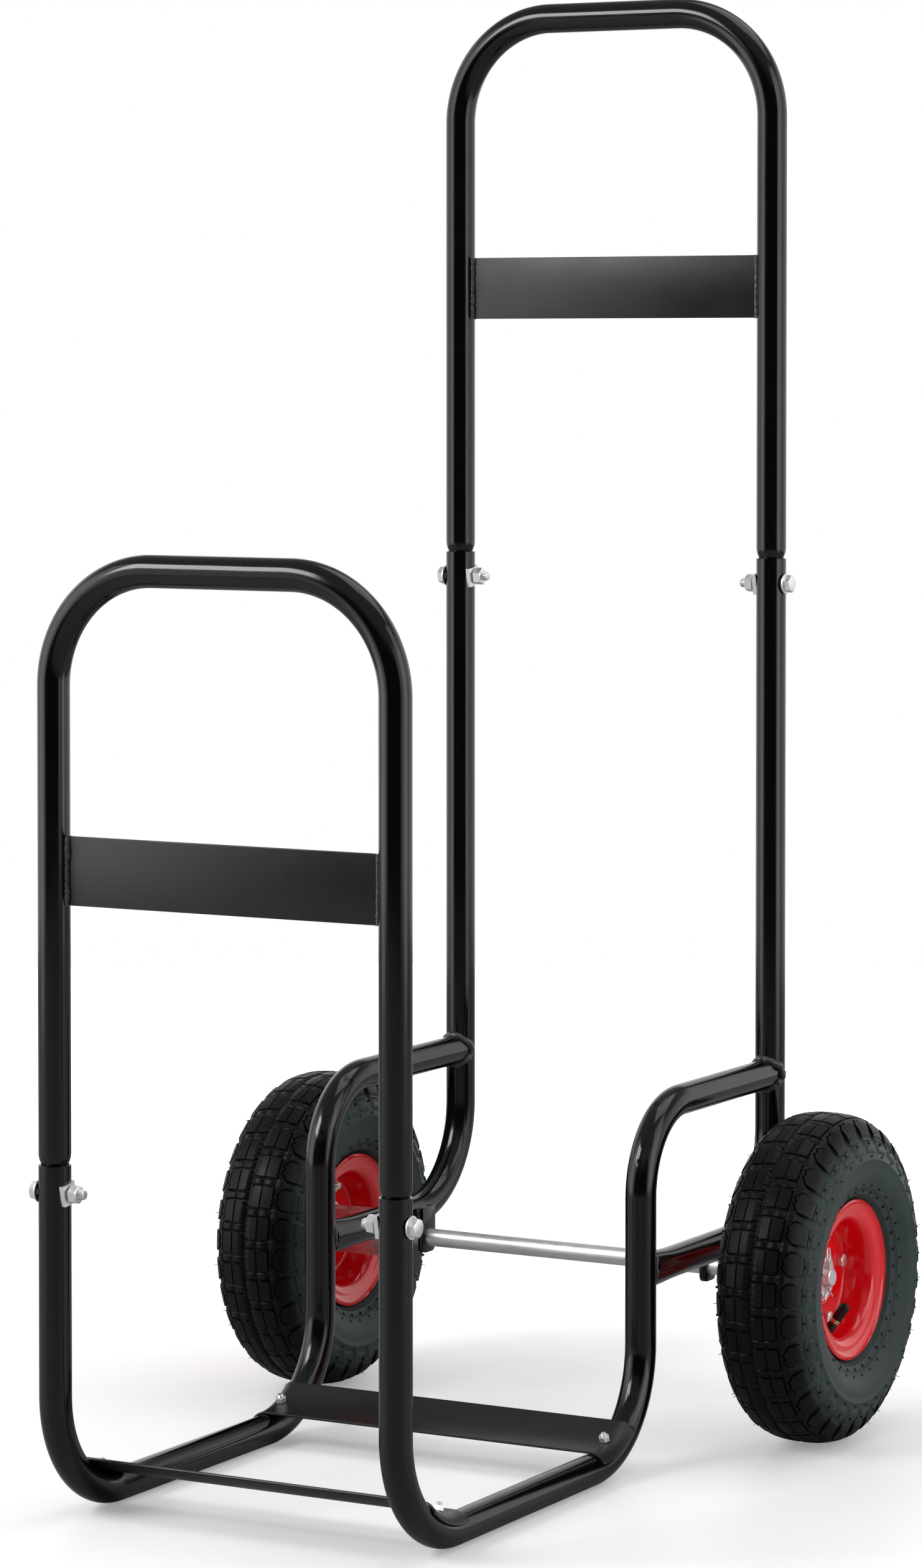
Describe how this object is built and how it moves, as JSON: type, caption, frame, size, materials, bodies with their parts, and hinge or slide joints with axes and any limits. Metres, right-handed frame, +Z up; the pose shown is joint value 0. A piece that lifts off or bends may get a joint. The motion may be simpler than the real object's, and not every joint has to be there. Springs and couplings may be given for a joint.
{
  "type": "fireside log cart",
  "caption": "Wheeled fireside log cart: bent tube cradle with a raised rear shelf, an arched hoop at each end and air-filled tyres.",
  "frame": {"origin": "on the floor, under the middle of the whole cart", "axes": "+Z up, +Y from the low front hoop towards the wheels, +X to the right wheel"},
  "size_m": [0.5576, 0.6916, 1.1875],
  "materials": {
    "black_tube": "black powder coat, satin to gloss, on steel tube",
    "black_plate": "charcoal powder coat, satin, on flat steel strip",
    "zinc": "bright zinc plate",
    "red_rim": "gloss red enamel",
    "tyre_rubber": "matt black rubber, a little dusty on the sidewall",
    "black_rubber": "satin black rubber"
  },
  "bodies": {
    "frame": {"axle": "zinc", "front_floor_plate": "black_plate", "front_hoop": "black_tube", "front_hoop_plate": "black_plate", "front_left_floor_plate_nut": "zinc", "front_left_joint_bolt": "zinc", "front_left_joint_nut": "zinc", "front_left_saddle_washer": "zinc", "front_right_floor_plate_nut": "zinc", "front_right_joint_bolt": "zinc", "front_right_joint_nut": "zinc", "front_right_saddle_washer": "zinc", "left_axle_bracket": "black_tube", "left_inner_axle_washer": "zinc", "left_outer_axle_washer": "zinc", "left_rail": "black_tube", "left_rear_leg": "black_tube", "left_split_pin": "zinc", "rear_floor_plate": "black_plate", "rear_hoop": "black_tube", "rear_hoop_plate": "black_plate", "rear_left_floor_plate_nut": "zinc", "rear_left_joint_bolt": "zinc", "rear_left_joint_nut": "zinc", "rear_left_saddle_washer": "zinc", "rear_right_floor_plate_nut": "zinc", "rear_right_joint_bolt": "zinc", "rear_right_joint_nut": "zinc", "rear_right_saddle_washer": "zinc", "right_axle_bracket": "black_tube", "right_inner_axle_washer": "zinc", "right_outer_axle_washer": "zinc", "right_rail": "black_tube", "right_rear_leg": "black_tube", "right_split_pin": "zinc"},
    "left_wheel": {"left_hub": "zinc", "left_inner_bearing": "zinc", "left_inner_tube": "black_rubber", "left_outer_bearing": "zinc", "left_rim_bolt_1": "zinc", "left_rim_bolt_2": "zinc", "left_rim_bolt_3": "zinc", "left_rim_bolt_4": "zinc", "left_rim_inner": "red_rim", "left_rim_outer": "red_rim", "left_tyre": "tyre_rubber", "left_valve_cap": "black_rubber"},
    "right_wheel": {"right_hub": "zinc", "right_inner_bearing": "zinc", "right_inner_tube": "black_rubber", "right_outer_bearing": "zinc", "right_rim_bolt_1": "zinc", "right_rim_bolt_2": "zinc", "right_rim_bolt_3": "zinc", "right_rim_bolt_4": "zinc", "right_rim_inner": "red_rim", "right_rim_outer": "red_rim", "right_tyre": "tyre_rubber", "right_valve_cap": "black_rubber"}
  },
  "joints": [
    {"name": "left_wheel_spin", "type": "hinge", "parent": "frame", "child": "left_wheel", "pos_m": [-0.2354, 0.21175, 0.134], "axis": [1, 0, 0], "continuous": true},
    {"name": "right_wheel_spin", "type": "hinge", "parent": "frame", "child": "right_wheel", "pos_m": [0.2354, 0.21175, 0.134], "axis": [1, 0, 0], "continuous": true}
  ]
}
